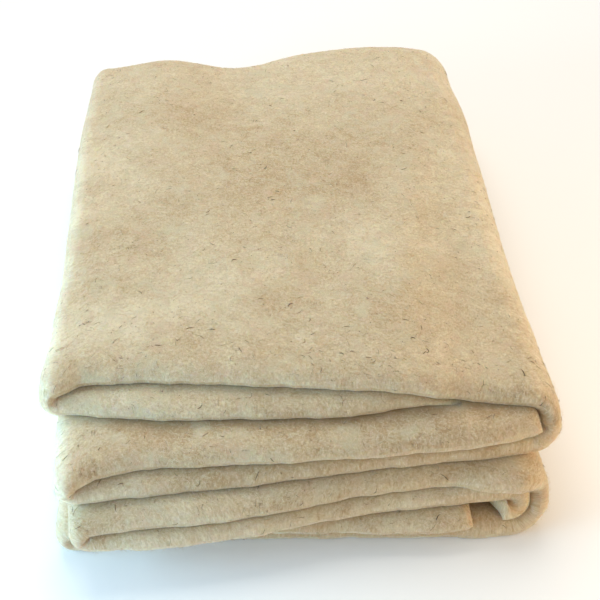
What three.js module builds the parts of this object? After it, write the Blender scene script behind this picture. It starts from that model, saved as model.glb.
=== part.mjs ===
// A cut length of thick cream wool weed barrier felt, folded into a pack of eight plies.
// It is one sheet, so it is one solid: both side flaps are folded in, the strip is folded shut like a book,
// and the four plies are then folded in half, with that last fold at the back and all cut edges at the front.
// Millimetres, +Z up, front towards -Y, origin on the surface under the middle of the pack.
import * as THREE from "three";

// ---- driving sizes -------------------------------------------------------------------------------------------
const FELT = 8.5; // thickness of the felt
const SPACING = 10.1; // from one ply's middle to the next, so plies lie a little apart
const LOWEST = 0.5; // middle plane of the pack to the ply nearest to it, in spacings
const TURN = 0.5; // radius of a side fold between two neighbouring plies, in spacings
const FOLD_THIN = 0.13; // share by which the felt is pressed thinner at the turn of a fold
const LIP = 23.5; // length of the inner flap's end that curls under at the front of the lower half
const LIP_WIDE = 5.6; // half width of that curl
const LIP_DEEP = 5.2; // and half its depth
const LIP_DRAWN = 9; // how much of it is drawn back inside the pack, where it is only part curled
const THIN_END = 34; // length over which the outer flap's end feathers out
const THIN_BY = 0.7; // share of the thickness lost at that end
const THIN_SINK = 0.42; // and how far that end settles, in spacings for its whole thickness
const BACK_PULL = 0.02; // share by which the pack narrows where it turns round the back
const BACK_LONG = 1.08; // depth of the back fold over its height, as a half round
const HUG = 5; // how soon behind the front edge the left folds reach their line along the pack
const UNCURL = 0.7; // share of the way back at which the curled end lies straight again
const MID_Z = FELT / 2 + 3.5 * SPACING; // height of the middle plane

// ---- tables --------------------------------------------------------------------------------------------------
// Where each ply's cut edge lies at the front, by ply, in mm behind the pack's foremost ground line.
// Level 7 is the top ply and level 0 the one on the surface; the columns are places across the pack.
const ACROSS = { foldSide: -120, left: -75, midLeft: -25, midRight: 25, right: 75, byEnd: 105, spine: 130 };
const FRONT_EDGE = [
  { level: 0, foldSide: -1, left: 1.5, midLeft: 0, midRight: -2.5, right: -5, byEnd: -6, spine: -3.5 },
  { level: 1, foldSide: -1, left: 2, midLeft: -3, midRight: -6.4, right: -9.2, byEnd: -4, spine: -1.5 },
  { level: 2, foldSide: -15, left: -16.5, midLeft: -12, midRight: -3.5, right: 0.5, byEnd: 2.5, spine: 5.5 },
  { level: 3, foldSide: -12, left: -11.5, midLeft: -8, midRight: 0.6, right: 5, byEnd: -0.5, spine: 0.5 },
  { level: 4, foldSide: -2, left: 1, midLeft: 4, midRight: 9, right: 12.5, byEnd: 13.5, spine: 17 },
  { level: 5, foldSide: 4, left: 9.5, midLeft: 9.5, midRight: 10, right: 11.5, byEnd: 14.5, spine: 21 },
  { level: 6, foldSide: 39, left: 33, midLeft: 30.5, midRight: 29, right: 34, byEnd: 33, spine: 30 },
  { level: 7, foldSide: 50, left: 49.5, midLeft: 44.5, midRight: 38.5, right: 32.5, byEnd: 32, spine: 30 },
];
// Where the upper ply of a left fold is drawn forward round the fold: place, half width and how far.
const DRAWN = [
  { level: 7, x: -123, wide: 9, forward: 8 },
  { level: 5, x: -116, wide: 9, forward: 9 },
  { level: 3, x: -112, wide: 9, forward: 6 },
];
// The back fold: how far back its axis lies, and how much the top of the pack rises or dips there.
const BACK_FOLD = [
  { row: "axis", foldSide: 357, left: 364, midLeft: 354, midRight: 367, right: 375, byEnd: 374, spine: 369 },
  { row: "rise", foldSide: -2, left: 0.5, midLeft: -3, midRight: 0.5, right: 1.5, byEnd: 0.5, spine: -2 },
];
// How the pack's width swells and draws in from front to back, as a share of its width.
const SIDE_WAVE = [
  { along: 0, wider: 0 },
  { along: 0.35, wider: -0.011 },
  { along: 0.75, wider: 0.019 },
  { along: 1, wider: 0.006 },
];
// The sheet's section at three places: the front of the upper half, the back fold, the front of the lower half.
// outerEnd: cut end of the outer flap. sinkFrom/sinkTo/sink: where and by how many plies the cover settles past
// that end. outerFold, innerFold: the left folds. spine, squash: the right fold and its flatness.
// innerTurn, curl: where the inner flap's end begins, and whether it runs straight (0) or curls under (1).
const SECTION = {
  upperFront: { outerEnd: 86, sinkFrom: 50, sinkTo: 114, sink: 1, outerFold: -129.6, spine: 136.9, squash: 1.15, innerFold: -118.8, innerTurn: 101, curl: 0 },
  back: { outerEnd: 104, sinkFrom: 104, sinkTo: 120, sink: 0, outerFold: -130, spine: 135, squash: 1, innerFold: -129, innerTurn: 94.5, curl: 0 },
  lowerFront: { outerEnd: 89.4, sinkFrom: 88, sinkTo: 110, sink: 0, outerFold: -126, spine: 131.3, squash: 1, innerFold: -113.5, innerTurn: 107.6, curl: 1 },
};
// Where every flat stretch of the section has its lines, so that neighbouring plies bend at the same places.
const STATIONS = [-100, -80, -60, -44, -28, -12, 4, 20, 38, 56, 68, 80, 92];
const FLAP_STATIONS = 12; // how many of them the outer flap reaches
// Steps round each curved stretch, and along the sheet from front edge to front edge.
const STEPS = { outerFold: 6, spine: 8, innerFold: 6, lip: 7 };
const ALONG = { half: 9, backFold: 10, crowding: 1.25 };
const RISE_FROM = 200; // how far back the rise and dip of the back fold begin to show

// ---- small helpers -------------------------------------------------------------------------------------------
const mix = (a, b, t) => a + (b - a) * t;
const soft = (a, b, x) => {
  const t = Math.min(1, Math.max(0, (x - a) / (b - a)));
  return t * t * (3 - 2 * t);
};
// A smooth curve through the points (xs, ys), level at its ends and beyond them.
function through(xs, ys, x) {
  const last = xs.length - 1;
  const slope = (k) => (k > 0 && k < last ? (ys[k + 1] - ys[k - 1]) / (xs[k + 1] - xs[k - 1]) : 0);
  if (x <= xs[0]) return ys[0];
  if (x >= xs[last]) return ys[last];
  let i = 0;
  while (i < last - 1 && x >= xs[i + 1]) i++;
  const h = xs[i + 1] - xs[i];
  const t = (x - xs[i]) / h;
  return (
    ys[i] * (1 + 2 * t) * (1 - t) ** 2 +
    h * slope(i) * t * (1 - t) ** 2 +
    ys[i + 1] * t * t * (3 - 2 * t) +
    h * slope(i + 1) * t * t * (t - 1)
  );
}
const COLUMN = Object.values(ACROSS);
const acrossRow = (row, x) => through(COLUMN, Object.keys(ACROSS).map((name) => row[name]), x);
const sideWave = (along) => 1 + through(SIDE_WAVE.map((r) => r.along), SIDE_WAVE.map((r) => r.wider), along);

// Depth of the cut front edge at place x, for any level between two plies too.
function frontEdge(x, level) {
  const k = Math.min(6, Math.max(0, Math.floor(level)));
  const edge = (row) => {
    const drawn = DRAWN.filter((d) => d.level === row).map((d) => d.forward * Math.exp(-(((x - d.x) / d.wide) ** 2)));
    return acrossRow(FRONT_EDGE[row], x) - drawn.reduce((sum, d) => sum + d, 0);
  };
  return mix(edge(k), edge(k + 1), soft(0, 1, level - k));
}

// ---- the section ---------------------------------------------------------------------------------------------
// The sizes of the section a share k of the way from a front edge to the back fold.
function between(front, back, k) {
  const made = {};
  for (const name of Object.keys(front)) made[name] = mix(front[name], back[name], soft(0, 1, k));
  for (const name of ["outerFold", "innerFold"]) made[name] = mix(front[name], back[name], 1 - (1 - k) ** HUG);
  made.curl = mix(front.curl, back.curl, soft(0, UNCURL, k));
  return made;
}

// One walk across the sheet, from the outer flap's cut end to the inner flap's cut end.
// Each stop is { x, out, full }: place, plies outward from the middle plane, share of the full thickness.
function section(s) {
  const stops = [];
  const r = TURN * SPACING;
  const outerX = s.outerFold + FELT / 2 + r;
  const innerX = s.innerFold + FELT / 2 + r;
  const coverAt = (x) => 3.5 - s.sink * soft(s.sinkFrom, s.sinkTo, x);
  const spineRadius = ((3.5 - s.sink - LOWEST) / 2) * SPACING * s.squash;
  const spineX = s.spine - FELT / 2 - spineRadius;
  const arc = (count, stop) => {
    for (let i = 0; i < count; i++)
      stops.push({ ...stop(i / count), full: 1 - FOLD_THIN * Math.sin((Math.PI * i) / count) });
  };
  const outerFlap = (x) => {
    const full = 1 - THIN_BY * (1 - soft(0, THIN_END, s.outerEnd - x)) * s.sink;
    stops.push({ x, out: 2.5 - (1 - full) * THIN_SINK, full });
  };
  const flat = (out) => (x) => stops.push({ x, out, full: 1 });
  const leftward = [...STATIONS].reverse();
  [s.outerEnd, ...leftward.slice(-FLAP_STATIONS)].forEach(outerFlap);
  arc(STEPS.outerFold, (t) => ({
    x: outerX - r * Math.sin(Math.PI * t),
    out: 3 - 0.5 * Math.cos(Math.PI * t),
  }));
  [outerX, ...STATIONS].forEach((x) => stops.push({ x, out: coverAt(x), full: 1 }));
  arc(STEPS.spine, (t) => {
    const top = coverAt(spineX);
    return {
      x: spineX + spineRadius * Math.sin(Math.PI * t),
      out: (top + LOWEST) / 2 + ((top - LOWEST) / 2) * Math.cos(Math.PI * t),
    };
  });
  [spineX, ...leftward].forEach(flat(LOWEST));
  arc(STEPS.innerFold, (t) => ({
    x: innerX - r * Math.sin(Math.PI * t),
    out: 1 - 0.5 * Math.cos(Math.PI * t),
  }));
  [innerX, ...STATIONS].forEach(flat(1.5));
  const most = Math.PI * s.curl;
  const length = LIP - LIP_DRAWN * Math.sqrt(Math.sin(most));
  const [wide, deep] = [mix(r, LIP_WIDE, s.curl), mix(r, LIP_DEEP, s.curl)];
  const round = (wide + deep) / 2;
  for (let i = 0; i <= STEPS.lip; i++) {
    const run = (length * i) / STEPS.lip;
    const bend = Math.min(run / round, most);
    const past = run - round * bend;
    stops.push({
      x: s.innerTurn + wide * Math.sin(bend) + past * Math.cos(bend),
      out: 1.5 + (deep * (1 - Math.cos(bend)) + past * Math.sin(bend)) / SPACING,
      full: 1,
    });
  }
  return stops;
}

// ---- the sheet's middle surface ------------------------------------------------------------------------------
// Rows run from the upper half's front edge, back, round the back fold and forward to the lower half's front edge.
function middleSurface() {
  const rows = [];
  const rise = (x, level) => (acrossRow(BACK_FOLD[1], x) * level) / 7;
  const half = (front, side, k) => {
    const wider = side > 0 ? sideWave(k) : 1 + SIDE_WAVE[3].wider * k;
    rows.push(
      section(between(front, SECTION.back, k)).map((p) => {
        const level = 3.5 + side * p.out;
        const axis = acrossRow(BACK_FOLD[0], p.x);
        const y = mix(frontEdge(p.x, level), axis, k);
        const z = MID_Z + side * p.out * SPACING + rise(p.x, level) * soft(RISE_FROM, axis, y);
        return { at: new THREE.Vector3(p.x * wider, y, z), full: p.full };
      }),
    );
  };
  for (let i = 0; i < ALONG.half; i++) half(SECTION.upperFront, 1, (i / ALONG.half) ** ALONG.crowding);
  for (let i = 0; i <= ALONG.backFold; i++) {
    const turn = (Math.PI * i) / ALONG.backFold;
    const wider = 1 + SIDE_WAVE[3].wider - BACK_PULL * Math.sin(turn) ** 2;
    rows.push(
      section(SECTION.back).map((p) => {
        const up = p.out * Math.cos(turn);
        return {
          at: new THREE.Vector3(
            p.x * wider,
            acrossRow(BACK_FOLD[0], p.x) + p.out * SPACING * BACK_LONG * Math.sin(turn),
            MID_Z + up * SPACING + rise(p.x, 3.5 + up),
          ),
          full: p.full * (1 - FOLD_THIN * Math.sin(turn)),
        };
      }),
    );
  }
  for (let i = ALONG.half - 1; i >= 0; i--) half(SECTION.lowerFront, -1, (i / ALONG.half) ** ALONG.crowding);
  return rows;
}

// ---- thickness and closing -----------------------------------------------------------------------------------
function thicken(rows) {
  const n = rows.length;
  const m = rows[0].length;
  const at = (i, j) => rows[Math.min(n - 1, Math.max(0, i))][Math.min(m - 1, Math.max(0, j))].at;
  const outside = [];
  const inside = [];
  for (let i = 0; i < n; i++)
    for (let j = 0; j < m; j++) {
      const acrossWay = new THREE.Vector3().subVectors(at(i, j + 1), at(i, j - 1));
      const alongWay = new THREE.Vector3().subVectors(at(i + 1, j), at(i - 1, j));
      const push = acrossWay.cross(alongWay).normalize().multiplyScalar((FELT / 2) * rows[i][j].full);
      outside.push(rows[i][j].at.clone().add(push));
      inside.push(rows[i][j].at.clone().sub(push));
    }
  const index = [];
  const id = (i, j) => i * m + j;
  const skin = n * m;
  for (let i = 0; i + 1 < n; i++)
    for (let j = 0; j + 1 < m; j++) {
      const [a, b, c, d] = [id(i, j), id(i, j + 1), id(i + 1, j + 1), id(i + 1, j)];
      index.push(a, b, c, a, c, d, skin + a, skin + c, skin + b, skin + a, skin + d, skin + c);
    }
  const edge = (list) => {
    for (let k = 0; k + 1 < list.length; k++) {
      const [p, q] = [list[k], list[k + 1]];
      index.push(p, skin + p, skin + q, p, skin + q, q);
    }
  };
  const columns = [...Array(m).keys()];
  const lines = [...Array(n).keys()];
  edge(columns.map((j) => id(0, j)));
  edge(lines.map((i) => id(i, m - 1)));
  edge(columns.map((j) => id(n - 1, j)).reverse());
  edge(lines.map((i) => id(i, 0)).reverse());
  const points = outside.concat(inside);
  const box = new THREE.Box3().setFromPoints(points);
  const middle = box.getCenter(new THREE.Vector3());
  const position = new Float32Array(points.length * 3);
  points.forEach((p, k) => position.set([p.x - middle.x, p.y - middle.y, p.z - box.min.z], k * 3));
  const geometry = new THREE.BufferGeometry();
  geometry.setAttribute("position", new THREE.BufferAttribute(position, 3));
  geometry.setIndex(index);
  geometry.computeVertexNormals();
  return geometry;
}

const wool = new THREE.MeshStandardMaterial({ color: 0xd8c9a6, roughness: 0.95, metalness: 0, name: "cream_wool_felt" });
const sheet = new THREE.Mesh(thicken(middleSurface()), wool);
sheet.name = "folded_felt_sheet";

const group = new THREE.Group();
group.add(sheet);
export default group;
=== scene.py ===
# The looks of a folded pack of thick cream wool felt: one sheet in eight plies, its fibres, hairs and specks.
# Sizes below are millimetres in the pack's own layout (x right, y back from the front line, z up) until they are
# moved into the frame at the end, in metres.
import math

import bpy
import numpy as np
from mathutils import Matrix, Vector
from mathutils.bvhtree import BVHTree


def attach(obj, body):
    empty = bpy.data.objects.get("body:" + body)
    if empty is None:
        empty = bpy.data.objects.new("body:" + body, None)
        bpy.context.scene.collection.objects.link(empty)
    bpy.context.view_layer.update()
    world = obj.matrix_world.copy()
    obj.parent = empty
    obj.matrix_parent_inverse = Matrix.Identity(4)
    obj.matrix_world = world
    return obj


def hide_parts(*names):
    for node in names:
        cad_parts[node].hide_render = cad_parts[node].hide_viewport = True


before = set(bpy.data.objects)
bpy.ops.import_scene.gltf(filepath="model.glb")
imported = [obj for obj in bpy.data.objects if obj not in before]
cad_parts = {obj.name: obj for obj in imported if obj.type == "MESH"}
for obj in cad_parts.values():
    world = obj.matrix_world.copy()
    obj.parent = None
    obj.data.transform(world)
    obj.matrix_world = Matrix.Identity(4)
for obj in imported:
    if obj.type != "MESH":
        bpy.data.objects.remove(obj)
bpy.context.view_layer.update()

# ---- where the layout lies in the frame ------------------------------------------------------------------------
MIDDLE = np.array([2.7192, 199.8338, 0.0])  # layout point that is the frame's origin
MM = 0.001


def to_frame(p):
    return (np.asarray(p, float) - MIDDLE) * MM


# ---- camera ----------------------------------------------------------------------------------------------------
AZIMUTH, ELEVATION = math.radians(-3.6), math.radians(42.1)
EYE = (-19.287, -306.555, 447.617)
ahead = Vector((-math.sin(AZIMUTH) * math.cos(ELEVATION), math.cos(AZIMUTH) * math.cos(ELEVATION), -math.sin(ELEVATION)))
rightward = Vector((math.cos(AZIMUTH), math.sin(AZIMUTH), 0))
upward = rightward.cross(ahead)
lens = bpy.data.cameras.new("camera")
lens.sensor_width, lens.lens = 36, 60
lens.clip_start, lens.clip_end = 0.01, 20
camera = bpy.data.objects.new("camera", lens)
eye = Vector(to_frame(EYE))
camera.matrix_world = Matrix((
    (rightward.x, upward.x, -ahead.x, eye.x),
    (rightward.y, upward.y, -ahead.y, eye.y),
    (rightward.z, upward.z, -ahead.z, eye.z),
    (0, 0, 0, 1),
))
bpy.context.scene.collection.objects.link(camera)
bpy.context.scene.camera = camera

# ---- sizes and tables of the folded sheet ----------------------------------------------------------------------
THICK = 9.5  # the felt with its nap
SPACING = 10.1
LOWEST = 0.5
TURN = 0.5
FOLD_THIN = 0.10
LIP = 26.5
LIP_DRAWN = 9
LIP_WIDE, LIP_DEEP = 6.3, 5.2
LIP_FAT = 0.24
CORNER, CORNER_DEEP = 6.5, 13  # how much the curled corner falls short at the front edge, and over what depth
THINNEST = 0.12
BACK_PULL = 0.02
BACK_LONG = 1.08
HUG = 5
UNCURL = 0.7
RISE_FROM = 200
CORE = 8.5
MID_Z = CORE / 2 + 3.5 * SPACING

ACROSS = dict(foldSide=-120, left=-75, midLeft=-25, midRight=25, right=75, byEnd=105, spine=130)
FRONT_EDGE = [
    dict(level=0, foldSide=-1, left=1.5, midLeft=0, midRight=-2.5, right=-5, byEnd=-6, spine=-3.5),
    dict(level=1, foldSide=-1, left=2, midLeft=-3, midRight=-6.4, right=-9.2, byEnd=-4, spine=-1.5),
    dict(level=2, foldSide=-15, left=-16.5, midLeft=-12, midRight=-3.5, right=0.5, byEnd=2.5, spine=5.5),
    dict(level=3, foldSide=-12, left=-11.5, midLeft=-8, midRight=0.6, right=5.0, byEnd=-0.5, spine=0.5),
    dict(level=4, foldSide=-2, left=1, midLeft=4, midRight=9, right=12.5, byEnd=13.5, spine=17),
    dict(level=5, foldSide=4, left=9.5, midLeft=9.5, midRight=10, right=11.5, byEnd=14.5, spine=21),
    dict(level=6, foldSide=39, left=33, midLeft=30.5, midRight=29, right=34, byEnd=33, spine=30),
    dict(level=7, foldSide=50, left=49.5, midLeft=44.5, midRight=38.5, right=32.5, byEnd=32, spine=30),
]
# Where a ply's front edge is drawn forward round its left fold.
DRAWN = [
    dict(level=7, x=-123, wide=9, forward=8),
    dict(level=5, x=-116, wide=9, forward=9),
    dict(level=3, x=-114, wide=13, forward=4),
]
# How far the rounding of each ply's front edge reaches back, on top and below.
NOSES = [
    dict(level=0, top=8, below=7),
    dict(level=1, top=8, below=5),
    dict(level=2, top=5, below=5),
    dict(level=3, top=10, below=4),
    dict(level=4, top=5.5, below=5),
    dict(level=5, top=14, below=4.5),
    dict(level=6, top=10, below=6),
    dict(level=7, top=18, below=5),
]
FRONT_SWELL = 0.14
SPINE_SWELL = 0.20
# Plies that fill out into the gap beside the cut end of the second lowest ply.
BULGES = [
    dict(level=0, x=95, wide=10, fat=0.55),
    dict(level=2, x=92, wide=9, fat=0.34),
]
BACK_AXIS = dict(foldSide=355.5, left=361.5, midLeft=351.5, midRight=363.5, right=369.5, byEnd=369, spine=366)
BACK_RISE = dict(foldSide=-2, left=0.5, midLeft=-3, midRight=0.5, right=1.5, byEnd=0.5, spine=-2)
SIDE_WAVE = [(0, 0), (0.35, -0.011), (0.75, 0.019), (1, 0.006)]
UPPER = dict(outerEnd=86, sinkFrom=50, sinkTo=109, sink=1, lift=0.10, fat=0.32, outerFold=-129.6, spine=136.3, squash=1.15, innerFold=-118.8, innerTurn=99.5, curl=0)
BACK = dict(outerEnd=104, sinkFrom=104, sinkTo=120, sink=0, lift=0, fat=0, outerFold=-130, spine=135, squash=1, innerFold=-129, innerTurn=93.5, curl=0)
LOWER = dict(outerEnd=89.4, sinkFrom=88, sinkTo=110, sink=0, lift=0, fat=0, outerFold=-126, spine=130.4, squash=1, innerFold=-113.5, innerTurn=107.5, curl=1)

# Soft ridges and troughs on the top, each from one place to another: half width and height of its swell.
CREASES = [
    dict(x0=-112, y0=64, x1=2, y1=128, half=15, high=1.5),
    dict(x0=8, y0=132, x1=70, y1=190, half=22, high=0.5),
    dict(x0=-100, y0=215, x1=-55, y1=105, half=20, high=-0.8),
    dict(x0=20, y0=95, x1=95, y1=84, half=16, high=0.5),
    dict(x0=-88, y0=350, x1=-80, y1=260, half=24, high=0.6),
    dict(x0=70, y0=350, x1=96, y1=220, half=26, high=0.5),
    dict(x0=30, y0=160, x1=104, y1=140, half=15, high=-0.6),
    dict(x0=-20, y0=250, x1=50, y1=236, half=19, high=-0.4),
    dict(x0=118, y0=70, x1=112, y1=250, half=9, high=0.5),
]
# Broad patches of the top painted lighter (tone above 0) or darker (below 0).
PATCHES = [
    dict(x=-95, y=80, wide=42, deep=36, turn=20, tone=0.95),
    dict(x=-38, y=110, wide=46, deep=15, turn=28, tone=0.5),
    dict(x=-75, y=150, wide=26, deep=52, turn=-20, tone=-0.55),
    dict(x=-112, y=215, wide=16, deep=70, turn=-6, tone=0.35),
    dict(x=10, y=92, wide=40, deep=22, turn=10, tone=-0.35),
    dict(x=-8, y=170, wide=40, deep=26, turn=15, tone=-0.25),
    dict(x=58, y=150, wide=34, deep=40, turn=-25, tone=0.3),
    dict(x=-40, y=235, wide=48, deep=34, turn=0, tone=0.25),
    dict(x=75, y=86, wide=34, deep=16, turn=0, tone=-0.35),
    dict(x=40, y=240, wide=36, deep=50, turn=20, tone=-0.2),
    dict(x=-60, y=310, wide=36, deep=30, turn=0, tone=-0.25),
    dict(x=20, y=340, wide=80, deep=16, turn=0, tone=0.3),
    dict(x=0, y=215, wide=80, deep=62, turn=0, tone=-0.4),
    dict(x=-128, y=200, wide=15, deep=160, turn=0, tone=0.6),
    dict(x=128, y=220, wide=15, deep=160, turn=0, tone=0.6),
    dict(x=105, y=70, wide=24, deep=34, turn=0, tone=0.2),
]
# Darker patches on single plies near their front edges: the first is painted shadow on the third ply near its right
# end, under the top ply; the others darken the third ply further left and the fourth ply across its middle.
PLY_TONE_AND_SHADE = [
    dict(level=5, x=98, wide=36, tone=-0.9),
    dict(level=5, x=60, wide=30, tone=-0.3),
    dict(level=4, x=-20, wide=120, tone=-0.25),
]
# Painted shade: the third ply's top is darkened where it passes in under the second ply's front edge, on the left.
UNDER_EDGE_SHADE = dict(level=5, edge=6, deep=9, tone=-1.3)  # the third ply where it passes under the second


def mix(a, b, t):
    return a + (b - a) * t


def soft(a, b, x):
    t = np.clip((np.asarray(x, float) - a) / (b - a), 0, 1)
    return t * t * (3 - 2 * t)


def through(xs, ys, x):
    """A smooth curve through the points, level at its ends and beyond them."""
    xs, ys = np.asarray(xs, float), np.asarray(ys, float)
    x = np.clip(np.asarray(x, float), xs[0], xs[-1])
    i = np.clip(np.searchsorted(xs, x, side="right") - 1, 0, len(xs) - 2)
    slope = np.zeros_like(ys)
    slope[1:-1] = (ys[2:] - ys[:-2]) / (xs[2:] - xs[:-2])
    h = xs[i + 1] - xs[i]
    t = (x - xs[i]) / h
    return (ys[i] * (1 + 2 * t) * (1 - t) ** 2 + h * slope[i] * t * (1 - t) ** 2
            + ys[i + 1] * t * t * (3 - 2 * t) + h * slope[i + 1] * t * t * (t - 1))


def across(row, x):
    return through(list(ACROSS.values()), [row[name] for name in ACROSS], x)


# A cut edge is never dead straight: small waves in each ply's front edge, in mm.
wave_dice = np.random.RandomState(41)
EDGE_WAVES = [[(wave_dice.uniform(0.10, 0.42) * (length / 30) ** 0.5, length * wave_dice.uniform(0.85, 1.15), wave_dice.uniform(0, 6.28))
               for length in (7, 11, 18, 27, 44)] for level in range(8)]


def front_edge(x, level, waves):
    k = np.clip(np.floor(level), 0, 6).astype(int)
    rows = [across(FRONT_EDGE[n], x) + (sum(a * np.sin(6.2832 * x / w + p) for a, w, p in EDGE_WAVES[n]) if waves else 0) for n in range(8)]
    for c in DRAWN:
        rows[c["level"]] = rows[c["level"]] - c["forward"] * np.exp(-((x - c["x"]) / c["wide"]) ** 2)
    rows = np.array(rows)
    spot = np.arange(len(x))
    return mix(rows[k, spot], rows[k + 1, spot], soft(0, 1, level - k))


def between(front, back, k):
    made = {name: mix(front[name], back[name], float(soft(0, 1, k))) for name in front}
    for name in ("outerFold", "innerFold"):
        made[name] = mix(front[name], back[name], 1 - (1 - k) ** HUG)
    made["curl"] = mix(front["curl"], back["curl"], float(soft(0, UNCURL, k)))
    made["corner"] = CORNER * front["curl"] * float(1 - soft(0, CORNER_DEEP, k * 350))
    return made


def section(s, g):
    """One walk across the sheet: place, plies outward from the middle plane, share of the full thickness."""
    x, out, full = [], [], []

    def add(px, po, pf=1.0):
        px = np.atleast_1d(np.asarray(px, float))
        x.append(px)
        out.append(np.broadcast_to(po, px.shape).astype(float))
        full.append(np.broadcast_to(pf, px.shape).astype(float))

    r = TURN * SPACING
    outer_x = s["outerFold"] + CORE / 2 + r
    inner_x = s["innerFold"] + CORE / 2 + r

    def cover_at(px):
        return 3.5 - s["sink"] * soft(s["sinkFrom"], s["sinkTo"], px)

    def lift_at(px):
        return s["lift"] * soft(30, 84, px) * (1 - soft(88, 116, px))

    def fatter_at(px):
        return s["fat"] * soft(30, 84, px) * (1 - soft(92, 120, px))

    radius = ((3.5 - s["sink"] - LOWEST) / 2) * SPACING * s["squash"]
    spine_x = s["spine"] - CORE / 2 - radius
    px = np.concatenate([s["outerEnd"] - g["ends"], g["outerFlap"][::-1]])
    top_of_flap = lift_at(px) + fatter_at(px) / 2
    room = cover_at(px) - 2.5 - top_of_flap
    add(px, (cover_at(px) + 1.5 + top_of_flap) / 2, np.clip(room, THINNEST, 1))

    def arc(count):
        t = np.arange(count) / count
        return t, 1 - FOLD_THIN * np.sin(np.pi * t)

    t, pressed = arc(g["fold"])
    add(outer_x - r * np.sin(np.pi * t), 3 - 0.5 * np.cos(np.pi * t), pressed)
    px = np.concatenate([[outer_x], g["cover"]])
    add(px, cover_at(px))
    t, pressed = arc(g["spine"])
    top = float(cover_at(spine_x))
    add(spine_x + radius * np.sin(np.pi * t), (top + LOWEST) / 2 + (top - LOWEST) / 2 * np.cos(np.pi * t), pressed)
    px = np.concatenate([[spine_x], g["base"][::-1]])
    add(px, LOWEST + 0.3 * lift_at(px))
    t, pressed = arc(g["fold"])
    add(inner_x - r * np.sin(np.pi * t), 1 - 0.5 * np.cos(np.pi * t), pressed)
    px = np.concatenate([[inner_x], g["innerFlap"]])
    add(px, 1.5 + lift_at(px), 1 + fatter_at(px))
    most = math.pi * s["curl"]
    length = LIP - s.get("corner", 0) - LIP_DRAWN * math.sqrt(max(0.0, math.sin(most)))
    run = np.concatenate([np.linspace(0, length - g["ends"][-1], 15), length - g["ends"][::-1][1:]])
    wide, deep = mix(r, LIP_WIDE, s["curl"]), mix(r, LIP_DEEP, s["curl"])
    mean = (wide + deep) / 2
    bend = np.minimum(run / mean, most)
    past = run - mean * bend
    px = s["innerTurn"] + wide * np.sin(bend) + past * np.cos(bend)
    add(px, 1.5 + (deep * (1 - np.cos(bend)) + past * np.sin(bend)) / SPACING + lift_at(px) * math.cos(most / 2), 1 + s["curl"] * LIP_FAT * np.sin(np.pi * np.clip(run / length, 0, 1)))
    return np.concatenate(x), np.concatenate(out), np.concatenate(full)


def middle_surface(g, waves=True):
    """Rows from the upper half's front edge, back, round the back fold and forward to the lower half's front edge."""
    rows, fulls, levels = [], [], []
    wave_k, wave_w = zip(*SIDE_WAVE)

    def rise(x, level):
        return across(BACK_RISE, x) * level / 7

    def half(front, side, k):
        wider = 1 + float(through(wave_k, wave_w, k)) if side > 0 else 1 + SIDE_WAVE[3][1] * k
        x, out, full = section(between(front, BACK, k), g)
        level = 3.5 + side * out
        axis = across(BACK_AXIS, x)
        y = mix(front_edge(x, level, waves), axis, k)
        z = MID_Z + side * out * SPACING + rise(x, level) * soft(0, 1, (y - RISE_FROM) / (axis - RISE_FROM))
        rows.append(np.stack([x * wider, y, z], -1))
        fulls.append(full)
        levels.append(level)

    for k in g["upper"]:
        half(UPPER, 1, k)
    for turn in np.linspace(0, math.pi, g["back"] + 1):
        wider = 1 + SIDE_WAVE[3][1] - BACK_PULL * math.sin(turn) ** 2
        x, out, full = section(BACK, g)
        up = out * math.cos(turn)
        rows.append(np.stack([x * wider, across(BACK_AXIS, x) + out * SPACING * BACK_LONG * math.sin(turn), MID_Z + up * SPACING + rise(x, 3.5 + up)], -1))
        fulls.append(full * (1 - FOLD_THIN * math.sin(turn)))
        levels.append(3.5 + up)
    for k in g["lower"][::-1]:
        half(LOWER, -1, k)
    return np.array(rows), np.array(fulls), np.array(levels)


def spread(*stretches):
    """Places from start to end of each stretch (start, end, step), start included, end left out."""
    return np.concatenate([np.linspace(a, b, max(2, int(round((b - a) / step)) + 1))[:-1] for a, b, step in stretches])


def unit(v):
    return v / (np.linalg.norm(v, axis=-1, keepdims=True) + 1e-12)


# ---- smooth noise on the sheet ---------------------------------------------------------------------------------
def lattice_noise(u, v, size, seed):
    """Soft noise between -1 and 1 with features about size wide."""
    table = np.random.RandomState(seed).uniform(-1, 1, (256, 256))
    a, b = u / size + 1000, v / size + 1000
    i, j = np.floor(a).astype(int), np.floor(b).astype(int)
    s, t = a - i, b - j
    s, t = s * s * s * (s * (s * 6 - 15) + 10), t * t * t * (t * (t * 6 - 15) + 10)
    i0, j0, i1, j1 = i % 256, j % 256, (i + 1) % 256, (j + 1) % 256
    return mix(mix(table[i0, j0], table[i1, j0], s), mix(table[i0, j1], table[i1, j1], s), t)


# ---- the fine sheet --------------------------------------------------------------------------------------------
ENDS = np.array([0, 0.35, 0.9, 1.8, 3.0, 4.6, 6.6])
FRONTS = np.array([0, 0.35, 0.85, 1.6, 2.6, 3.9, 5.4, 7.2, 9.4]) / 350
FINE = dict(
    ends=ENDS,
    outerFlap=spread((-112, 78, 5.6)),
    fold=14,
    cover=spread((-116, 60, 2.9), (60, 103, 2.6)),
    spine=26,
    base=spread((-101, 103, 5.5)),
    innerFlap=spread((-101, 92, 4.6)),
    upper=np.concatenate([FRONTS, spread((12 / 350, 0.2, 0.0095), (0.2, 1, 0.0118))]),
    back=24,
    lower=np.concatenate([FRONTS, spread((12 / 350, 0.12, 0.014), (0.12, 1, 0.036))]),
)
COARSE_STATIONS = np.array([-100, -80, -60, -44, -28, -12, 4, 20, 38, 56, 68, 80, 92.0])

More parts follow.
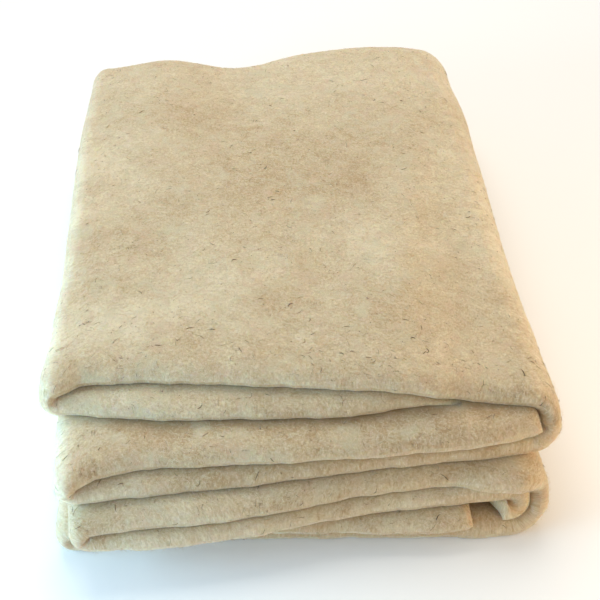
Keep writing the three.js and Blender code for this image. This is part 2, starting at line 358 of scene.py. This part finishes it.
surface, full, level_of = middle_surface(FINE)
n, m = full.shape
step_across = np.linalg.norm(np.diff(surface, axis=1), axis=-1)
step_along = np.linalg.norm(np.diff(surface, axis=0), axis=-1)
run_across = np.concatenate([np.zeros((n, 1)), np.cumsum(step_across, 1)], 1)
run_along = np.concatenate([np.zeros((1, m)), np.cumsum(step_along, 0)], 0)
flat_u = run_across - run_across.mean(1, keepdims=True) + run_across.mean()
flat_v = run_along


def ahead_of(a, axis):
    """Central differences, one-sided at the ends."""
    padded = np.concatenate([np.take(a, [0], axis), a, np.take(a, [-1], axis)], axis)
    count = a.shape[axis]
    return np.take(padded, np.arange(2, count + 2), axis) - np.take(padded, np.arange(count), axis)


facing = unit(np.cross(ahead_of(surface, 1), ahead_of(surface, 0)))

# Rounding of the cut edges: how far each point is from each edge, along the felt.
nose_levels = [row["level"] for row in NOSES]
columns = []
for row in (0, -1):
    reach_top = np.interp(level_of[row], nose_levels, [r["top"] for r in NOSES])
    reach_below = np.interp(level_of[row], nose_levels, [r["below"] for r in NOSES])
    # inside the two left folds the lower ply's nose lies back, which leaves a soft hollow
    x = surface[row][:, 0]
    for level, at, wide in ((6, -106, 17), (4, -98, 15)):
        reach_top = reach_top + 7 * np.exp(-((x - at) / wide) ** 2) * np.clip(1 - abs(level_of[row] - level) * 2, 0, 1)
    columns.append((reach_top, reach_below))
from_edges = [
    (run_along, *columns[0]),
    (run_along[-1:] - run_along, *columns[1]),
    (run_across, 6.0, 5.0),
    (run_across[:, -1:] - run_across, np.where(level_of[:, -1:] < 3.5, 2.5, 7.0), 7.0),
]
front_near = np.exp(-(run_along / 22) ** 2) + np.exp(-((run_along[-1:] - run_along) / 22) ** 2)
spine_near = soft(84, 116, surface[..., 0]) * np.exp(-(np.minimum(run_along, run_along[-1:] - run_along) / 120) ** 2)
full = full * (1 + FRONT_SWELL * front_near + SPINE_SWELL * spine_near)
for c in BULGES:
    full = full * (1 + c["fat"] * np.exp(-((surface[..., 0] - c["x"]) / c["wide"]) ** 2) * np.clip(1 - abs(level_of - c["level"]) * 2, 0, 1) * np.minimum(front_near, 1))


def nose(share):
    return (1 - (1 - np.clip(share, 0, 1)) ** 2) ** 0.5


skins = []
for side in (1, -1):
    out = facing * side
    up = soft(-0.3, 0.3, out[..., 2])
    rounding = np.ones((n, m))
    for away, on_top, below in from_edges:
        rounding = rounding * nose(away / mix(below, on_top, up))
    # the curled end of the lower half is cut on the slant
    rounding = rounding * mix(1, np.clip((run_across[:, -1:] - run_across) / 11, 0, 1), (1 - up) * (level_of < 3.5))
    rounding = np.maximum(rounding, 0.03)
    seed = 7 if side > 0 else 19
    lumps = 0.55 * lattice_noise(flat_u, flat_v, 46, seed) + 0.34 * lattice_noise(flat_u, flat_v, 21, seed + 1) + 0.16 * lattice_noise(flat_u, flat_v, 9, seed + 2)
    skins.append(dict(out=out, up=up, rounding=rounding, lumps=lumps))

# The middle sinks a little towards the front edge, so that the nose of each ply sits low.
low_nose = np.zeros((n, m))
for away in (run_along, run_along[-1:] - run_along):
    low_nose += (1 - np.clip(away / 10, 0, 1)) ** 2
centre = surface - np.array([0, 0, 1.0]) * (0.9 * low_nose)[..., None]


# How tightly the middle bends across the sheet, as a vector towards the centre of the bend.
chord = ahead_of(surface, 1)
bend_to = ahead_of(unit(chord), 1) / (np.linalg.norm(chord, axis=-1, keepdims=True) + 1e-9)


def skin_points(skin, swell):
    reach = THICK / 2 * full * skin["rounding"] + swell * np.minimum(1, skin["rounding"] * 1.2)
    # the hollow side of the tight left folds closes on the centre of its bend and goes no further
    bend = (skin["out"] * bend_to).sum(-1)
    tight = soft(1 / 9, 1 / 6.5, bend) * soft(-85, -98, surface[..., 0])
    reach = mix(reach, np.minimum(reach, 0.97 / np.maximum(bend, 1e-3)), tight)
    return centre + skin["out"] * reach[..., None]


# Which points lie open: a ray along the normal that meets no other ply.
def grid_faces(offset):
    i, j = np.meshgrid(np.arange(n - 1), np.arange(m - 1), indexing="ij")
    a = (i * m + j).ravel() + offset
    return np.stack([a, a + 1, a + m + 1, a + m], -1)


def rim_faces():
    top = np.arange(n * m).reshape(n, m)
    loops = [top[0], top[:, -1], top[-1][::-1], top[:, 0][::-1]]
    made = [np.stack([line[:-1], line[:-1] + n * m, line[1:] + n * m, line[1:]], -1) for line in loops]
    return np.concatenate(made)


quads = np.concatenate([grid_faces(0), grid_faces(n * m)[:, ::-1], rim_faces()])
rough = np.concatenate([skin_points(s, 0 * s["lumps"]).reshape(-1, 3) for s in skins])
tree = BVHTree.FromPolygons([tuple(p) for p in rough], [tuple(q) for q in quads])
for number, skin in enumerate(skins):
    points = rough[number * n * m:(number + 1) * n * m]
    directions = skin["out"].reshape(-1, 3)
    open_at = np.zeros(n * m)
    tilts = [np.array([0, 0, 0]), np.array([0.5, -0.6, 0.35]), np.array([-0.5, -0.6, 0.35]), np.array([0, 0.7, 0.5])]
    for tilt in tilts:
        aim = unit(directions + tilt * 0.8)
        for k in range(n * m):
            start = points[k] + directions[k] * 0.15
            hit = tree.ray_cast(Vector(start), Vector(aim[k]), 60.0)
            open_at[k] += hit[0] is None
    smooth = (open_at / len(tilts)).reshape(n, m)
    for _ in range(2):
        padded = np.pad(smooth, 1, mode="edge")
        smooth = (padded[:-2, 1:-1] + padded[2:, 1:-1] + padded[1:-1, :-2] + padded[1:-1, 2:] + 2 * smooth) / 6
    skin["open"] = smooth
    skin["rough"] = points.reshape(n, m, 3)

# Creases and patches on the top of the pack, and painted shade on single plies near their front edges.
tone_and_painted_shade = []
for skin in skins:
    p = skin["rough"]
    top = soft(0.55, 0.9, skin["out"][..., 2]) * (skin["open"] > 0.6) * soft(2 * MID_Z * 0.72, 2 * MID_Z * 0.85, p[..., 2] + 8)
    swell = skin["lumps"] * mix(0.12, 1.0, soft(0.2, 0.7, skin["open"]))
    for c in CREASES:
        a, b = np.array([c["x0"], c["y0"]], float), np.array([c["x1"], c["y1"]], float)
        d = p[..., :2] - a
        t = np.clip((d @ (b - a)) / ((b - a) @ (b - a)), 0, 1)
        off = np.linalg.norm(d - t[..., None] * (b - a), axis=-1) / c["half"]
        swell = swell + top * c["high"] * np.exp(-off ** 2) * (0.55 + 0.45 * np.sin(np.pi * np.clip(t, 0.08, 0.92)))
    tone = 0.42 * lattice_noise(flat_u, flat_v, 62, 5) + 0.3 * lattice_noise(flat_u, flat_v, 27, 6)
    for c in PATCHES:
        a = math.radians(c["turn"])
        dx, dy = p[..., 0] - c["x"], p[..., 1] - c["y"]
        u, v = dx * math.cos(a) + dy * math.sin(a), -dx * math.sin(a) + dy * math.cos(a)
        tone = tone + top * c["tone"] * np.exp(-((u / c["wide"]) ** 2 + (v / c["deep"]) ** 2))
    facing_up = soft(-0.2, 0.5, skin["out"][..., 2]) * soft(120, 70, p[..., 1])
    # darker patches on single plies, the strongest of them painted shadow
    for c in PLY_TONE_AND_SHADE:
        tone = tone + c["tone"] * np.exp(-((p[..., 0] - c["x"]) / c["wide"]) ** 2) * np.clip(1 - abs(level_of - c["level"]) * 1.6, 0, 1) * facing_up
    # painted shade on the third ply's top, darkest under the second ply's front edge and fading over a few mm in front
    # of it
    behind = p[..., 1] - front_edge(p[..., 0].ravel(), np.full(n * m, float(UNDER_EDGE_SHADE["edge"])), False).reshape(n, m)
    painted_under_shade = np.exp(-(np.minimum(behind, 0) / UNDER_EDGE_SHADE["deep"]) ** 2) * facing_up
    tone = tone + UNDER_EDGE_SHADE["tone"] * painted_under_shade * np.clip(1 - abs(level_of - UNDER_EDGE_SHADE["level"]) * 1.6, 0, 1) * soft(-112, -80, p[..., 0])
    skin["swell"] = swell
    tone_and_painted_shade.append(tone)

final = np.concatenate([skin_points(s, s["swell"]).reshape(-1, 3) for s in skins])
final[:, 2] = np.maximum(final[:, 2], 0)
for number, skin in enumerate(skins):
    skin["points"] = final[number * n * m:(number + 1) * n * m].reshape(n, m, 3)
    skin["normal"] = unit(np.cross(ahead_of(skin["points"], 1), ahead_of(skin["points"], 0))) * (1 if number == 0 else -1)


def new_mesh(name, points, faces, smooth=True):
    points, faces = np.asarray(points, np.float32), np.asarray(faces, np.int32)
    sides = faces.shape[1]
    me = bpy.data.meshes.new(name)
    me.vertices.add(len(points))
    me.vertices.foreach_set("co", points.ravel())
    me.loops.add(faces.size)
    me.loops.foreach_set("vertex_index", faces.ravel())
    me.polygons.add(len(faces))
    me.polygons.foreach_set("loop_start", np.arange(0, faces.size, sides, dtype=np.int32))
    me.polygons.foreach_set("use_smooth", np.full(len(faces), smooth))
    me.update(calc_edges=True)
    me.validate()
    ob = bpy.data.objects.new(name, me)
    bpy.context.scene.collection.objects.link(ob)
    return ob


def keep(ob, name, values):
    values = np.asarray(values, np.float32)
    if values.ndim == 1:
        ob.data.attributes.new(name, "FLOAT", "POINT").data.foreach_set("value", values)
    else:
        ob.data.attributes.new(name, "FLOAT_VECTOR", "POINT").data.foreach_set("vector", values.ravel())


sheet = new_mesh("felt_sheet", to_frame(final), quads)
flat_at = np.concatenate([np.stack([flat_u, flat_v, np.full((n, m), level)], -1).reshape(-1, 3) for level in (0.0, 300.0)]) * MM
keep(sheet, "flat_at", flat_at)
# the tone attribute holds the patches and noise together with painted shade on some plies
keep(sheet, "tone", np.concatenate([t.ravel() for t in tone_and_painted_shade]))
# open_air, how open each point lies, also drives the painted shade in the gaps in the felt material
keep(sheet, "open_air", np.concatenate([s["open"].ravel() for s in skins]))
keep(sheet, "cut_end", np.concatenate([(1 - s["rounding"]).ravel() for s in skins]))


# ---- materials -------------------------------------------------------------------------------------------------
class Nodes:
    def __init__(self, name):
        self.material = bpy.data.materials.new(name)
        self.material.use_nodes = True
        self.tree = self.material.node_tree
        self.tree.nodes.clear()

    def add(self, kind, **settings):
        node = self.tree.nodes.new(kind)
        for key, value in settings.items():
            setattr(node, key, value)
        return node

    def join(self, a, b):
        self.tree.links.new(a, b)

    def attribute(self, name, vector=False):
        node = self.add("ShaderNodeAttribute", attribute_name=name)
        return node.outputs["Vector" if vector else "Fac"]

    def noise(self, where, scale, detail=2.0, rough=0.5, distort=0.0):
        node = self.add("ShaderNodeTexNoise")
        node.inputs["Scale"].default_value = scale
        node.inputs["Detail"].default_value = detail
        node.inputs["Roughness"].default_value = rough
        node.inputs["Distortion"].default_value = distort
        self.join(where, node.inputs["Vector"])
        return node.outputs["Fac"]

    def value(self, op, a, b=None, c=None, clamp=False):
        node = self.add("ShaderNodeMath", operation=op, use_clamp=clamp)
        for k, x in enumerate((a, b, c)):
            if x is None:
                continue
            if isinstance(x, (int, float)):
                node.inputs[k].default_value = x
            else:
                self.join(x, node.inputs[k])
        return node.outputs[0]

    def span(self, x, low, high, to_low=0.0, to_high=1.0, smooth=True):
        node = self.add("ShaderNodeMapRange", interpolation_type="SMOOTHSTEP" if smooth else "LINEAR", clamp=True)
        for k, v in enumerate((low, high, to_low, to_high)):
            node.inputs[k + 1].default_value = v
        self.join(x, node.inputs[0])
        return node.outputs[0]

    def blend(self, factor, a, b, kind="MIX"):
        node = self.add("ShaderNodeMix", data_type="RGBA", blend_type=kind)
        for socket, x in ((node.inputs[0], factor), (node.inputs[6], a), (node.inputs[7], b)):
            if isinstance(x, (int, float)):
                socket.default_value = x
            elif isinstance(x, tuple):
                socket.default_value = (*x, 1)
            else:
                self.join(x, socket)
        return node.outputs[2]

    def stretch(self, where, size, turn=0.0):
        node = self.add("ShaderNodeMapping")
        node.inputs["Scale"].default_value = size
        node.inputs["Rotation"].default_value = (0, 0, turn)
        self.join(where, node.inputs["Vector"])
        return node.outputs[0]

    def threads(self, where, scale, width, turn, long=3.0):
        """Thin curved lines, 1 on a line and 0 off it."""
        at = self.stretch(where, (1.0, long, 1.0), turn)
        level = self.noise(at, scale, 2.0, 0.55, 0.6)
        away = self.value("ABSOLUTE", self.value("SUBTRACT", level, 0.5))
        return self.span(away, 0.0, width, 1.0, 0.0)

    def finish(self, color, bump=None, rough=0.95, sheen=0.3, glow=0.0):
        shader = self.add("ShaderNodeBsdfPrincipled")
        shader.inputs["Roughness"].default_value = rough
        shader.inputs["Specular IOR Level"].default_value = 0.15
        shader.inputs["Sheen Weight"].default_value = sheen
        shader.inputs["Sheen Roughness"].default_value = 0.55
        shader.inputs["Sheen Tint"].default_value = (1.0, 0.94, 0.82, 1)
        if glow:
            shader.inputs["Subsurface Weight"].default_value = glow
            shader.inputs["Subsurface Radius"].default_value = (1.0, 0.55, 0.26)
            shader.inputs["Subsurface Scale"].default_value = 0.009
        if isinstance(color, tuple):
            shader.inputs["Base Color"].default_value = (*color, 1)
        else:
            self.join(color, shader.inputs["Base Color"])
        if bump is not None:
            self.join(bump, shader.inputs["Normal"])
        end = self.add("ShaderNodeOutputMaterial")
        self.join(shader.outputs[0], end.inputs["Surface"])
        return self.material


CREAM = (0.755, 0.65, 0.45)
OATMEAL = (0.62, 0.50, 0.32)
TAN = (0.475, 0.335, 0.185)
GREEN = (0.635, 0.555, 0.375)
PINK = (0.64, 0.48, 0.325)
PALE = (0.86, 0.78, 0.60)
# colour of the painted shade in the gaps between plies
PAINTED_GAP_SHADE = (0.50, 0.30, 0.125)
HUSK = (0.30, 0.215, 0.125)


def felt_material():
    w = Nodes("wool_felt")
    at = w.attribute("flat_at", vector=True)
    tone = w.attribute("tone")
    clouds = w.noise(at, 38, 3, 0.55)
    tufts = w.noise(w.stretch(at, (1.0, 1.15, 1.0), 0.4), 130, 5, 0.65, 0.3)
    nap = w.noise(at, 620, 4, 0.7, 0.3)
    grain = w.noise(at, 1900, 3, 0.7)
    # tone (the wool's tone with painted shade on some plies in it): from tan through oatmeal to cream, broken up by
    # clouds and tufts
    level = w.value("ADD", w.value("MULTIPLY", tone, 0.50), w.value("MULTIPLY", w.value("SUBTRACT", clouds, 0.5), 0.9))
    level = w.value("ADD", level, w.value("MULTIPLY", w.value("SUBTRACT", tufts, 0.5), 1.6))
    level = w.value("ADD", level, w.value("MULTIPLY", w.value("SUBTRACT", nap, 0.5), 2.6))
    color = w.blend(w.span(level, -0.75, 0.05), TAN, OATMEAL)
    color = w.blend(w.span(level, -0.1, 0.65), color, CREAM)
    green = w.span(w.noise(w.stretch(at, (1.0, 1.2, 1.0), 0.7), 55, 4, 0.62, 0.6), 0.50, 0.68, 0.0, 0.75)
    color = w.blend(green, color, GREEN)
    pink = w.span(w.noise(w.stretch(at, (1.3, 1.0, 1.0), 2.2), 68, 4, 0.62, 0.6), 0.50, 0.70, 0.0, 0.6)
    color = w.blend(pink, color, PINK)
    # painted shade: the colour is pulled towards a deep warm brown where other plies cover the skin (low open_air),
    # standing in for the dim light in the gaps between plies
    painted_gap_shade_amount = w.value("SUBTRACT", 1.0, w.attribute("open_air"), clamp=True)
    color = w.blend(w.value("MULTIPLY", painted_gap_shade_amount, 0.38), color, PAINTED_GAP_SHADE)
    shade = w.value("ADD", w.value("MULTIPLY", grain, 0.55), 0.725)
    shaded = w.add("ShaderNodeVectorMath", operation="SCALE")
    w.join(color, shaded.inputs[0])
    w.join(shade, shaded.inputs["Scale"])
    color = shaded.outputs[0]
    pale = w.value("MAXIMUM", w.threads(at, 260, 0.020, 0.5, 2.2), w.threads(at, 330, 0.020, 2.1, 2.0))
    color = w.blend(w.value("MULTIPLY", pale, w.span(nap, 0.42, 0.6, 0.0, 0.34)), color, PALE)
    dark = w.value("MAXIMUM", w.threads(at, 300, 0.016, 2.7, 1.8), w.threads(at, 380, 0.016, 0.1, 2.2))
    patchy = w.span(w.noise(at, 85, 2, 0.5), 0.50, 0.66, 0.0, 0.34)
    color = w.blend(w.value("MULTIPLY", dark, patchy), color, HUSK)
    specks = w.span(w.noise(at, 900, 1.5, 0.6), 0.735, 0.80, 0.0, 0.6)
    color = w.blend(specks, color, HUSK)
    # relief: nap, tufts and the threads that stand up
    high = w.value("ADD", w.value("MULTIPLY", nap, 0.75), w.value("MULTIPLY", tufts, 0.6))
    high = w.value("ADD", high, w.value("MULTIPLY", grain, 0.30))
    high = w.value("ADD", high, w.value("MULTIPLY", pale, 0.12))
    bump = w.add("ShaderNodeBump")
    bump.inputs["Strength"].default_value = 0.55
    bump.inputs["Distance"].default_value = 0.0011
    w.join(high, bump.inputs["Height"])
    return w.finish(color, bump.outputs[0], 0.96, 0.28, 0.6)


def strand_material(name, stops, rough, sheen):
    w = Nodes(name)
    tone = w.attribute("tone")
    ramp = w.add("ShaderNodeValToRGB")
    ramp.color_ramp.elements[0].position, ramp.color_ramp.elements[0].color = stops[0][0], (*stops[0][1], 1)
    ramp.color_ramp.elements[1].position, ramp.color_ramp.elements[1].color = stops[-1][0], (*stops[-1][1], 1)
    for place, color in stops[1:-1]:
        ramp.color_ramp.elements.new(place).color = (*color, 1)
    w.join(tone, ramp.inputs[0])
    at = w.add("ShaderNodeTexCoord").outputs["Object"]
    streak = w.span(w.noise(at, 900, 2, 0.5), 0.3, 0.7, 0.82, 1.1, smooth=False)
    shaded = w.add("ShaderNodeVectorMath", operation="SCALE")
    w.join(ramp.outputs[0], shaded.inputs[0])
    w.join(streak, shaded.inputs["Scale"])
    return w.finish(shaded.outputs[0], None, rough, sheen)


sheet.data.materials.append(felt_material())


# ---- fibres, hairs and specks ----------------------------------------------------------------------------------
stacked = {name: np.stack([s[name] for s in skins]) for name in ("points", "normal", "open")}
spacing_u = np.concatenate([step_across, step_across[:, -1:]], 1)
spacing_v = np.concatenate([step_along, step_along[-1:]], 0)


def on_skin(name, side, i, j):
    a, b = np.clip(np.floor(i).astype(int), 0, n - 2), np.clip(np.floor(j).astype(int), 0, m - 2)
    s, t = np.clip(i - a, 0, 1)[:, None], np.clip(j - b, 0, 1)[:, None]
    field = stacked[name]
    return mix(mix(field[side, a, b], field[side, a, b + 1], t), mix(field[side, a + 1, b], field[side, a + 1, b + 1], t), s)


cell_area = step_across[:-1] * step_along[:, :-1]
cell_open = np.stack([(s["open"][:-1, :-1] + s["open"][1:, 1:]) / 2 for s in skins])
cell_height = np.stack([s["points"][:-1, :-1, 2] for s in skins])
cell_weight = cell_area[None] * np.clip(cell_open - 0.15, 0, 1) * (cell_height > 1.2)


to_front = np.minimum(run_along, run_along[-1:] - run_along)[:-1, :-1]
front_weight = cell_weight * np.exp(-(to_front / 16) ** 2)[None]
hair_weight = cell_weight * (0.22 + np.exp(-(to_front / 34) ** 2))[None]


def pick_cells(dice, count, weight=cell_weight):
    flat = np.cumsum(weight.ravel())
    chosen = np.searchsorted(flat, dice.uniform(0, flat[-1], count))
    side, i, j = np.unravel_index(chosen, cell_weight.shape)
    return side, i + dice.uniform(0, 1, count), j + dice.uniform(0, 1, count)


def strands(name, dice, side, i, j, length, thick, rise, tip_rise, curl, tone, points=5, sunk=0.12, heading=None):
    """Closed hair-thin bodies that follow the skin, each on its own path; rise and tip_rise are heights over the skin."""
    count = len(i)
    heading = dice.uniform(0, 6.2832, count) if heading is None else heading
    path, ups = [], []
    i, j = i.astype(float).copy(), j.astype(float).copy()
    for k in range(points):
        share = k / (points - 1)
        base, up = on_skin("points", side, i, j), unit(on_skin("normal", side, i, j))
        height = -sunk + (rise + sunk) * math.sin(math.pi * min(share * 0.62, 0.5)) + tip_rise * share ** 2
        path.append(base + up * height[:, None])
        ups.append(up)
        a, b = np.clip(i.astype(int), 0, n - 1), np.clip(j.astype(int), 0, m - 1)
        step = length / (points - 1)
        i = np.clip(i + np.sin(heading) * step / np.maximum(spacing_v[a, b], 0.25), 0, n - 1.001)
        j = np.clip(j + np.cos(heading) * step / np.maximum(spacing_u[a, b], 0.25), 0, m - 1.001)
        heading = heading + curl * step
    path, ups = np.stack(path, 1), np.stack(ups, 1)
    real = np.linalg.norm(np.diff(path, axis=1), axis=-1)
    good = (real.min(1) > 0.04) & (real.max(1) < 3.2 * np.median(length) / (points - 1)) & (path[..., 2].min(1) > 0.1)
    path, ups, thick, tone = path[good], ups[good], thick[good], tone[good]
    count = len(path)
    along = np.gradient(path, axis=1)
    along = unit(along)
    aside = unit(np.cross(along, ups))
    over = np.cross(aside, along)
    rings = []
    for k in range(1, points - 1):
        radius = (thick * (1.0 if k < points - 2 else 0.75))[:, None]
        for angle in (math.pi / 2, math.pi / 2 + 2.0944, math.pi / 2 + 4.1888):
            rings.append(path[:, k] + radius * (math.cos(angle) * aside[:, k] + math.sin(angle) * over[:, k]))
    vertices = np.stack([path[:, 0], *rings, path[:, -1]], 1)
    per = vertices.shape[1]
    faces = [(0, 1 + (k + 1) % 3, 1 + k) for k in range(3)]
    for ring in range(points - 3):
        low = 1 + 3 * ring
        for k in range(3):
            a, b = low + k, low + (k + 1) % 3
            faces += [(a, b, b + 3), (a, b + 3, a + 3)]
    last = 1 + 3 * (points - 3)
    faces += [(per - 1, last + k, last + (k + 1) % 3) for k in range(3)]
    faces = np.array(faces)
    everything = (faces[None] + (np.arange(count) * per)[:, None, None]).reshape(-1, 3)
    flat = vertices.reshape(-1, 3)
    v = flat[everything[:len(faces)]]
    if np.einsum("ij,ij->i", v[:, 0] - v[0, 0], np.cross(v[:, 1] - v[0, 0], v[:, 2] - v[0, 0])).sum() < 0:
        everything = everything[:, ::-1]
    flat[:, 2] = np.maximum(flat[:, 2], 0.02)
    ob = new_mesh(name, to_frame(flat), everything)
    keep(ob, "tone", np.repeat(tone, per))
    return ob


fibres = []
wool_look = strand_material("wool_fibres", [(0, (0.56, 0.43, 0.27)), (0.25, (0.70, 0.58, 0.38)), (0.7, (0.80, 0.70, 0.50)), (1, (0.92, 0.85, 0.68))], 0.9, 0.3)
for number in (1, 2):
    dice = np.random.RandomState(100 + number)
    count = 11000
    side, i, j = pick_cells(dice, count)
    length = dice.uniform(2.0, 7.0, count)
    ob = strands(f"lying_fibres_{number}", dice, side, i, j, length, dice.uniform(0.03, 0.06, count), dice.uniform(0.04, 0.2, count),
                 dice.uniform(-0.15, 0.3, count), dice.normal(0, 0.28, count), 0.25 + 0.75 * dice.uniform(0, 1, count))
    ob.data.materials.append(wool_look)
    fibres.append(ob)
dice = np.random.RandomState(211)
count = 11000
side, i, j = pick_cells(dice, count)
nap = strands("standing_nap", dice, side, i, j, dice.uniform(0.8, 3.2, count), dice.uniform(0.025, 0.045, count), dice.uniform(0.2, 0.6, count),
              dice.uniform(0.0, 0.9, count) ** 1.5, dice.normal(0, 0.5, count), 0.35 + 0.65 * dice.uniform(0, 1, count))
nap.data.materials.append(wool_look)
fibres.append(nap)
dice = np.random.RandomState(223)
count = 7500
side, i, j = pick_cells(dice, count, front_weight)
fuzz = strands("edge_fuzz", dice, side, i, j, dice.uniform(1.2, 4.5, count), dice.uniform(0.025, 0.045, count), dice.uniform(0.3, 1.1, count),
               dice.uniform(0.1, 1.35, count) ** 1.5, dice.normal(0, 0.45, count), 0.3 + 0.7 * dice.uniform(0, 1, count))
fuzz.data.materials.append(wool_look)
fibres.append(fuzz)

dark_look = strand_material("kemp_and_husk", [(0, (0.035, 0.026, 0.018)), (0.35, (0.10, 0.07, 0.04)), (0.7, (0.24, 0.165, 0.095)), (1, (0.42, 0.31, 0.19))], 0.75, 0.1)
dice = np.random.RandomState(307)
count = 700
side, i, j = pick_cells(dice, count, hair_weight)
kemp = strands("dark_hairs", dice, side, i, j, dice.uniform(2.0, 6.5, count), dice.uniform(0.05, 0.12, count), dice.uniform(0.08, 0.3, count),
               dice.uniform(-0.1, 0.5, count), dice.normal(0, 0.22, count), dice.uniform(0, 1, count) ** 0.7)
kemp.data.materials.append(dark_look)
fibres.append(kemp)
dice = np.random.RandomState(353)
count = 120
side, i, j = pick_cells(dice, count, hair_weight)
coarse = strands("coarse_dark_hairs", dice, side, i, j, dice.uniform(2.2, 6.0, count), dice.uniform(0.13, 0.22, count), dice.uniform(0.1, 0.4, count),
                 dice.uniform(-0.1, 0.6, count), dice.normal(0, 0.38, count), 0.1 + 0.5 * dice.uniform(0, 1, count))
coarse.data.materials.append(dark_look)
fibres.append(coarse)
dice = np.random.RandomState(401)
count = 1900
side, i, j = pick_cells(dice, count)
husks = strands("specks", dice, side, i, j, dice.uniform(0.5, 1.6, count), dice.uniform(0.10, 0.24, count), dice.uniform(0.0, 0.1, count),
                dice.uniform(-0.05, 0.05, count), dice.normal(0, 0.3, count), 0.2 + 0.8 * dice.uniform(0, 1, count) ** 0.6, points=4, sunk=0.02)
husks.data.materials.append(dark_look)
fibres.append(husks)

# ---- the object's pieces in the frame --------------------------------------------------------------------------
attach(sheet, "root")
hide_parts("folded_felt_sheet")
for ob in fibres:
    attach(ob, "root")

# ---- floor and light -------------------------------------------------------------------------------------------
floor = new_mesh("floor", [(-4, -4, -0.0003), (4, -4, -0.0003), (4, 4, -0.0003), (-4, 4, -0.0003)], [(0, 1, 2, 3)], False)
w = Nodes("pale_floor")
floor.data.materials.append(w.finish((0.95, 0.95, 0.945), None, 0.9, 0.0))


def panel(name, place, aim, size, watts, color):
    light = bpy.data.lights.new(name, "AREA")
    light.shape, light.size, light.energy, light.color = "SQUARE", size, watts, color
    ob = bpy.data.objects.new(name, light)
    ob.location = place
    ob.rotation_mode = "QUATERNION"
    ob.rotation_quaternion = (Vector(aim) - Vector(place)).to_track_quat("-Z", "Y")
    ob.visible_camera = False
    bpy.context.scene.collection.objects.link(ob)
    return ob


panel("overhead", (-0.05, 0.85, 1.30), (0, 0.05, 0.03), 1.3, 17.3, (1.0, 0.95, 0.87))
panel("cool_left", (-0.60, -0.24, 0.20), (0, -0.15, 0.03), 0.30, 3.4, (0.46, 0.78, 1.0))
panel("cool_corner", (-0.31, -0.38, 0.10), (-0.11, -0.2, 0.02), 0.14, 0.50, (0.31, 0.64, 1.0))
panel("warm_right", (0.60, -0.14, 0.155), (0, -0.08, 0.05), 0.26, 1.1, (1.0, 0.72, 0.40))
panel("warm_corner", (0.31, -0.36, 0.11), (0.11, -0.2, 0.03), 0.14, 0.20, (1.0, 0.74, 0.45))
world = bpy.data.worlds.new("studio")
world.use_nodes = True
world.node_tree.nodes["Background"].inputs[0].default_value = (1.0, 0.975, 0.945, 1)
world.node_tree.nodes["Background"].inputs[1].default_value = 0.42
bpy.context.scene.world = world
bpy.context.scene.view_settings.view_transform = "Standard"
bpy.context.scene.view_settings.look = "None"
bpy.context.scene.view_settings.exposure = 0.0
